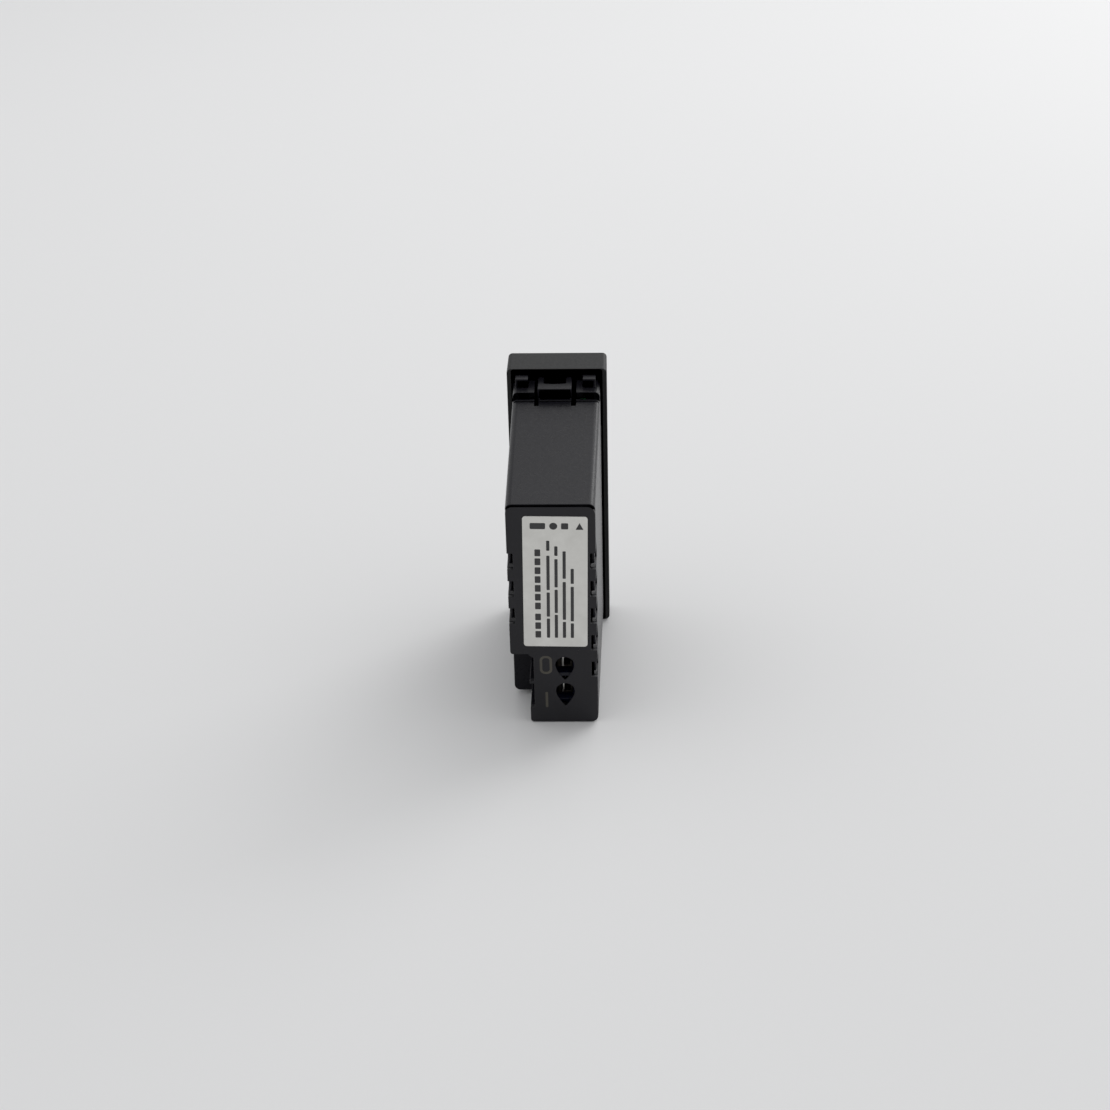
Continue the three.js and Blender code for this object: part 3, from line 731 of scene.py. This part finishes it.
LABEL = {"width": 10.1, "height": 24.14, "corner": 0.5, "thick": 0.1, "turn": -0.9}
PRINT = {"low": -10.4, "row": 10.35, "half_row": 0.55, "thick": 0.012}


def label_place():
    """From the label's own axes, u across and v up, to the CAD frame."""
    middle = (label_low + label_high) / 2
    turn = Matrix.Rotation(math.radians(LABEL["turn"]), 4, "Y")
    return Matrix.Translation((middle.x, DEPTH + 0.012, middle.z)) @ turn


def dashes(u, low, high, width, pattern):
    """Bars of print along v, each as long as its share in the pattern; negative shares are gaps."""
    total = sum(abs(share) for share in pattern)
    bars = []
    v = low
    for share in pattern:
        length = abs(share) / total * (high - low)
        if share > 0:
            bars.append(((u - width / 2, u + width / 2), (v, v + length)))
        v += length
    return bars


def make_label():
    half_u, half_v = LABEL["width"] / 2, LABEL["height"] / 2
    film = prism_y(rounded((-half_u, half_u), (-half_v, half_v), LABEL["corner"]), 0, LABEL["thick"])
    film.data.transform(label_place())
    piece(film, "label", label_film, "casing", ["rating_label"], 0.02)

    low = PRINT["low"]
    bars = dashes(2.75, low, 6.1, 0.9, (1.0, -0.32) * 3 + (-0.35,) + (1.0, -0.32) * 6 + (1.0,))
    lines = ((1.12, 7.7, (4, -0.4, 5, -0.5, 7, -1, 2)), (-0.13, 6.7, (5, -0.4, 5, -0.5, 6, -0.7, 2)),
             (-1.4, 5.8, (3, -0.4, 7, -0.6, 5)), (-2.65, 2.6, (3, -0.4, 7, -0.6, 3)))
    for u, high, pattern in lines:
        bars += dashes(u, low, high, 0.5, pattern)
    v = PRINT["row"]
    reach = PRINT["half_row"]
    shapes = [rounded(u, v_range, 0.12, 3) for u, v_range in bars]
    shapes.append(rounded((1.5, 3.9), (v - reach, v + reach), 0.2, 3))
    shapes.append(circle((0.25, v), 0.62, 32))
    shapes.append(rounded((-2.05, -0.95), (v - reach, v + reach), 0.15, 3))
    shapes.append([Vector(p) for p in ((-3.2, v - 0.6), (-4.4, v - 0.6), (-3.8, v + 0.6))])
    top = LABEL["thick"]
    ink = [prism_y(shape, top, top + PRINT["thick"]) for shape in shapes]
    bm = bmesh.new()
    for shape in ink:
        bm.from_mesh(shape.data)
        bpy.data.objects.remove(shape)
    drawing = new_object("print", bm)
    drawing.data.transform(label_place())
    piece(drawing, "label_print", print_ink, "casing", (), 0)


# ---------- sockets and terminals ----------


def make_shell(name, z):
    """A socket's sheet-metal shell, with a spring window in each long side."""
    x, high, wall = SHELL["half_x"], SHELL["half_z"], SHELL["wall"]

    def ring(inset):
        return rounded((-x + inset, x - inset), (z - high + inset, z + high - inset), SHELL["corner"] - inset)

    front, rear = SHELL["front"], SHELL["rear"]
    body = carve(prism_y(ring(0), front, rear), prism_y(ring(wall), front - 1, rear - wall))
    for side in (-1, 1):
        for offset in (-3.2, 3.2):
            window = rounded((4.4, 9.0), (z + offset - 0.9, z + offset + 0.9), 0.3)
            body = carve(body, prism_x(window, *sided(side, x - 2 * wall, x + 1)))
            leaf = [(9.4, 0.02), (9.4, 0.24), (6.0, 0.62), (4.7, 0.3), (4.7, 0.16), (6.0, 0.44)]
            points = [Vector((side * (x - inward), y)) for y, inward in leaf]
            body = fuse(body, prism_z(points, z + offset - 0.6, z + offset + 0.6))
    for side in (-1, 1):
        foot = z + side * (high - 0.5)
        for y in (4.5, 12.0):
            body = fuse(body, block((-3.4, -x + 0.1), (y, y + 1.4), (foot - 0.3, foot + 0.3)))
    node = "usb_shell_" + name
    piece(body, "socket_shell_" + name, tinned, "casing", [node], 0.05)


def make_screw(name, z):
    """A slotted cheese-head terminal screw."""
    node = "terminal_screw_" + name
    low, high = span(node)
    y = (low.y + high.y) / 2
    radius = (high.y - low.y) / 2
    head_low = high.x - SCREW["head"]
    shaft = SCREW["shaft"]
    profile = [
        (low.x, 0.85), (low.x + 0.2, shaft), (head_low, shaft), (head_low, radius - 0.1),
        (head_low + 0.1, radius), (high.x - 0.15, radius), (high.x, radius - 0.15),
    ]
    bm = bmesh.new()
    sides = SCREW["sides"]
    rings = []
    for x, r in profile:
        turns = [2 * math.pi * k / sides for k in range(sides)]
        rings.append([bm.verts.new((x, y + r * math.cos(t), z + r * math.sin(t))) for t in turns])
    for a, b in zip(rings, rings[1:]):
        for i in range(sides):
            j = (i + 1) % sides
            bm.faces.new((a[i], a[j], b[j], b[i]))
    bm.faces.new(rings[0])
    bm.faces.new(rings[-1])
    bmesh.ops.recalc_face_normals(bm, faces=bm.faces)
    body = new_object("screw", bm)
    slot_x, slot_z = (high.x - SCREW["slot_depth"], high.x + OVERSHOOT), SCREW["slot_half"]
    body = carve(body, block(slot_x, (y - 3, y + 3), (z - slot_z, z + slot_z)))
    piece(body, "screw_" + name, steel, "screw_" + name, [node], 0.03)


# ---------- the other nodes keep their shape ----------


def dress(node, material, edge=0.08):
    """Gives a CAD node its material and rounds its edges with modifiers."""
    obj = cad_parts[node]
    obj.data.materials.clear()
    obj.data.materials.append(material)
    weld = obj.modifiers.new("weld", "WELD")
    weld.merge_threshold = 0.002 * MM
    bevel = obj.modifiers.new("edges", "BEVEL")
    bevel.limit_method = "ANGLE"
    bevel.angle_limit = SHARP
    bevel.width = edge * MM
    bevel.segments = 2
    bevel.harden_normals = True
    for polygon in obj.data.polygons:
        polygon.use_smooth = True


def dress_inner_nodes():
    looks = {
        "circuit_board": laminate, "terminal_block": block_plastic_blue_and_painted_shade, "transformer_bobbin": inner_plastic,
        "transformer_winding": yellow_tape, "transformer_core_front": ferrite,
        "transformer_core_rear": ferrite, "input_choke": ferrite,
        "suppression_capacitor": yellow_tape, "fuse_resistor": resin,
        "bridge_rectifier": resin, "controller_chip": resin, "output_diode": resin,
    }
    for place in ("upper", "lower"):
        looks["usb_insulator_" + place] = inner_plastic
        looks["terminal_plate_" + place] = tinned
        looks["clamp_cage_" + place] = cage_metal_painted_shade
        for number in range(1, 5):
            looks[f"usb_contact_{place}_{number}"] = gold
    for letter in "ab":
        looks["input_capacitor_" + letter] = sleeve_aluminium
        looks["output_capacitor_" + letter] = sleeve_aluminium
    for node, material in looks.items():
        dress(node, material, 0.03 if "contact" in node or "plate" in node else 0.08)


# ---------- floor, light and camera ----------


def make_stage():
    """A pale floor under the bezel's rear edge and the tower's lower corner, on which the module leans."""
    bezel_foot = Vector((0, bezel_high.y, bezel_low.z)) * MM
    tower_foot = Vector((0, DEPTH, BOTTOM_REAR)) * MM
    along = (tower_foot - bezel_foot).normalized()
    across = Vector((1, 0, 0))
    up = across.cross(along)
    reach = 6.0
    bm = bmesh.new()
    centre = bezel_foot - up * FLOOR_GAP * MM
    corners = [(-1, -1), (1, -1), (1, 1), (-1, 1)]
    bm.faces.new([bm.verts.new(centre + across * reach * u + along * reach * v) for u, v in corners])
    floor = new_object("floor", bm)
    s = Shader("floor_paper")
    tone = s.blend(s.noise(300.0, 2.0), (0.745, 0.745, 0.745), (0.77, 0.77, 0.77))
    floor.data.materials.append(s.finish(tone, s.remap(s.noise(2.0), 0.0, 1.0, 0.75, 0.9), None, 0.0, 0.2))
    return along, up


def add_light(name, direction, distance, size, energy):
    """A round light that faces the module's middle from a direction."""
    light = bpy.data.lights.new(name, "AREA")
    light.shape = "DISK"
    light.size = size
    light.energy = energy
    lamp = bpy.data.objects.new(name, light)
    lamp.location = Vector((0, 25 * MM, 0)) + direction.normalized() * distance
    lamp.rotation_mode = "QUATERNION"
    lamp.rotation_quaternion = direction.to_track_quat("Z", "Y")
    bpy.context.scene.collection.objects.link(lamp)


def make_lights(along, up):
    """A large soft key beyond the bezel, a fill along the -X edge, and an even pale surround."""
    elevation = math.radians(58)
    direction = -along * math.cos(elevation) + up * math.sin(elevation) - Vector((0.24, 0, 0))
    add_light("key", direction, 0.9, 0.8, 1.72)
    add_light("fill", Vector((-0.75, -1.0, 0.45)), 1.1, 0.6, 2.5)

    world = bpy.data.worlds.new("surround")
    world.use_nodes = True
    background = world.node_tree.nodes["Background"]
    background.inputs["Color"].default_value = (0.985, 0.99, 1.0, 1)
    background.inputs["Strength"].default_value = 0.72
    bpy.context.scene.world = world


def make_camera():
    target = Vector((0, 30.0, 3.65)) * MM
    distance = 396.4 * MM
    elevation, yaw, roll = (math.radians(v) for v in (32.30, 2.48, -1.49))
    level = math.cos(elevation)
    back = Vector((-math.sin(yaw) * level, math.cos(yaw) * level, math.sin(elevation)))
    right = Vector((0, 0, 1)).cross(back).normalized()
    up = back.cross(right)
    right, up = right * math.cos(roll) + up * math.sin(roll), up * math.cos(roll) - right * math.sin(roll)
    camera = bpy.data.objects.new("camera", bpy.data.cameras.new("camera"))
    camera.data.lens = 79.42
    camera.data.sensor_width = 36
    camera.data.clip_start = 0.01
    camera.data.clip_end = 50
    turn = Matrix((right, up, back)).transposed().to_4x4()
    camera.matrix_world = Matrix.Translation(target + back * distance) @ turn
    bpy.context.scene.collection.objects.link(camera)
    bpy.context.scene.camera = camera


make_camera()
make_lights(*make_stage())
bpy.context.scene.view_settings.view_transform = "Standard"

make_bezel()
make_housing()
make_tongue()
make_cover()
make_marks()
make_label()
make_shell("upper", PORT_Z)
make_shell("lower", -PORT_Z)
for screw_name, cell_z in zip(("upper", "lower"), CELLS):
    make_screw(screw_name, cell_z)
dress_inner_nodes()
